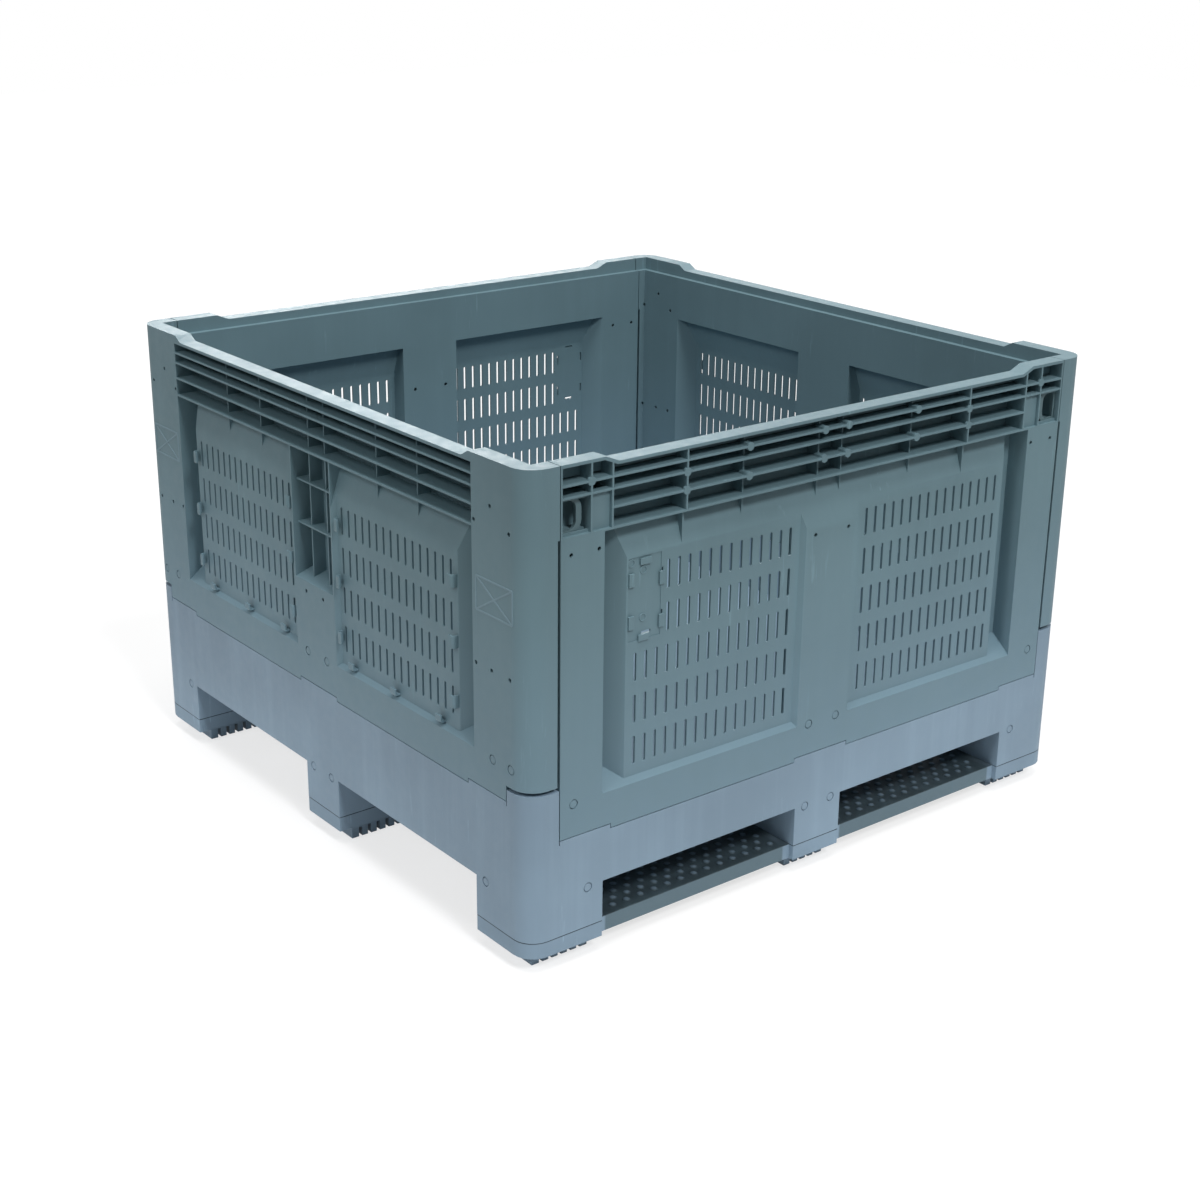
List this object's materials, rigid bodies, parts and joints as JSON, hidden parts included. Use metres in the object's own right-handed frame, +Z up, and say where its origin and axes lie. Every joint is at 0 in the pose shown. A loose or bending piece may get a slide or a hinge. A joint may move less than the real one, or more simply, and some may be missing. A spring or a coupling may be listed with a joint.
{
  "type": "collapsible bulk container",
  "caption": "Square plastic bulk container with slotted folding walls, ribbed rims, sliding corner latches and a raised pallet base on runners",
  "frame": {"origin": "on the ground under the middle of the footprint", "axes": "+Z is up; +X runs along the front wall, to the right when that wall is faced; -Y is the side that the front wall faces"},
  "size_m": [1.2, 1.19, 0.796],
  "materials": {
    "wall_plastic": "satin moulded polyethylene, grey teal",
    "base_plastic": "satin moulded polyethylene, bluish grey",
    "runner_plastic": "satin moulded polyethylene, scuffed",
    "latch_plastic": "satin moulded polyethylene",
    "pin_steel": "plain steel pin"
  },
  "bodies": {
    "base": {"pallet_base": "base_plastic", "runner_front": "runner_plastic", "runner_centre": "runner_plastic", "runner_back": "runner_plastic", "left_wall": "wall_plastic", "right_wall": "wall_plastic", "hinge_pin_front_left": "pin_steel", "hinge_pin_front_middle": "pin_steel", "hinge_pin_front_right": "pin_steel", "hinge_pin_back_left": "pin_steel", "hinge_pin_back_middle": "pin_steel", "hinge_pin_back_right": "pin_steel", "hinge_pin_left_left": "pin_steel", "hinge_pin_left_middle": "pin_steel", "hinge_pin_left_right": "pin_steel", "hinge_pin_right_left": "pin_steel", "hinge_pin_right_middle": "pin_steel", "hinge_pin_right_right": "pin_steel"},
    "front_wall": {"front_wall": "wall_plastic"},
    "back_wall": {"back_wall": "wall_plastic"},
    "latch_front_left": {"latch_front_left": "latch_plastic"},
    "latch_front_right": {"latch_front_right": "latch_plastic"},
    "latch_back_left": {"latch_back_left": "latch_plastic"},
    "latch_back_right": {"latch_back_right": "latch_plastic"}
  },
  "joints": [
    {"name": "front_wall_fold", "type": "hinge", "parent": "base", "child": "front_wall", "pos_m": [0, -0.56, 0.215], "axis": [-1, 0, 0], "range_deg": [0, 90]},
    {"name": "back_wall_fold", "type": "hinge", "parent": "base", "child": "back_wall", "pos_m": [0, 0.56, 0.215], "axis": [1, 0, 0], "range_deg": [0, 85]},
    {"name": "latch_front_left_slide", "type": "slide", "parent": "front_wall", "child": "latch_front_left", "axis": [1, 0, 0], "range_m": [0, 0.008], "stiffness_N_per_m": 300, "springref_m": -0.004},
    {"name": "latch_front_right_slide", "type": "slide", "parent": "front_wall", "child": "latch_front_right", "axis": [-1, 0, 0], "range_m": [0, 0.008], "stiffness_N_per_m": 300, "springref_m": -0.004},
    {"name": "latch_back_left_slide", "type": "slide", "parent": "back_wall", "child": "latch_back_left", "axis": [-1, 0, 0], "range_m": [0, 0.008], "stiffness_N_per_m": 300, "springref_m": -0.004},
    {"name": "latch_back_right_slide", "type": "slide", "parent": "back_wall", "child": "latch_back_right", "axis": [1, 0, 0], "range_m": [0, 0.008], "stiffness_N_per_m": 300, "springref_m": -0.004}
  ]
}
